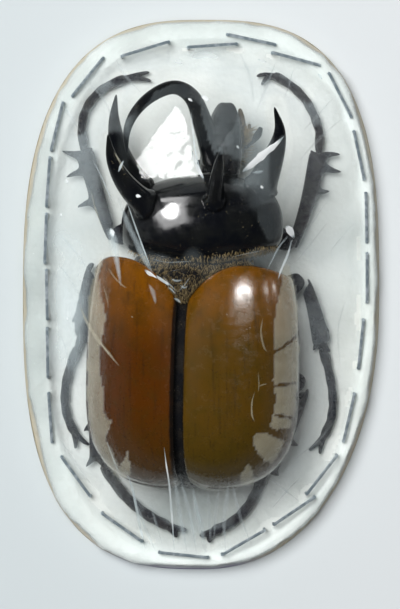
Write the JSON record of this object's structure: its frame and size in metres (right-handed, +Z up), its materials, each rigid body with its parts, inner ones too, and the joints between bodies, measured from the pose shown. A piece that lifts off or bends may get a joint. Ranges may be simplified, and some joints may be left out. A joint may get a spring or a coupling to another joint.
{
  "type": "mounted beetle specimen",
  "caption": "Dried five-horned rhinoceros beetle on an oval foam card, under a clear stretched film held by a ring of small wire staples.",
  "frame": {"origin": "centre of the card's bottom face", "axes": "+Y from the tail to the head, along the card's length; +X to the right in the view from above; +Z up, out of the card"},
  "size_m": [0.0538, 0.083, 0.0287],
  "materials": {
    "white_foam": "soft white foam with a dull, slightly puffy surface",
    "clear_film": "clear glossy film, creased and slightly milky",
    "steel_wire": "dull blue-grey wire",
    "black_shell": "polished black",
    "brown_shell": "glossy chestnut to olive brown with dark edges",
    "dark_leg": "satin brownish black",
    "brown_mouth": "dull orange brown, hairy"
  },
  "bodies": {
    "root": {"foam_card": "white_foam", "clear_film": "clear_film", "staple_01": "steel_wire", "staple_02": "steel_wire", "staple_03": "steel_wire", "staple_04": "steel_wire", "staple_05": "steel_wire", "staple_06": "steel_wire", "staple_07": "steel_wire", "staple_08": "steel_wire", "staple_09": "steel_wire", "staple_10": "steel_wire", "staple_11": "steel_wire", "staple_12": "steel_wire", "staple_13": "steel_wire", "staple_14": "steel_wire", "staple_15": "steel_wire", "staple_16": "steel_wire", "staple_17": "steel_wire", "staple_18": "steel_wire", "staple_19": "steel_wire", "staple_20": "steel_wire", "staple_21": "steel_wire", "staple_22": "steel_wire", "staple_23": "steel_wire", "abdomen": "black_shell", "thorax": "black_shell", "scutellum": "black_shell", "head": "black_shell", "head_horn": "black_shell", "eye_left": "black_shell", "eye_right": "black_shell", "antenna_left": "black_shell", "antenna_right": "black_shell", "thorax_horn_rear_left": "black_shell", "thorax_horn_rear_right": "black_shell", "thorax_horn_front_left": "black_shell", "thorax_horn_front_right": "black_shell", "elytron_left": "brown_shell", "elytron_right": "brown_shell", "femur_front_left": "dark_leg", "tibia_front_left": "dark_leg", "tarsus_front_left": "dark_leg", "femur_front_right": "dark_leg", "tibia_front_right": "dark_leg", "tarsus_front_right": "dark_leg", "femur_middle_left": "dark_leg", "tibia_middle_left": "dark_leg", "tarsus_middle_left": "dark_leg", "femur_middle_right": "dark_leg", "tibia_middle_right": "dark_leg", "tarsus_middle_right": "dark_leg", "femur_hind_left": "dark_leg", "tibia_hind_left": "dark_leg", "tarsus_hind_left": "dark_leg", "femur_hind_right": "dark_leg", "tibia_hind_right": "dark_leg", "tarsus_hind_right": "dark_leg", "mouthparts": "brown_mouth"}
  },
  "joints": []
}
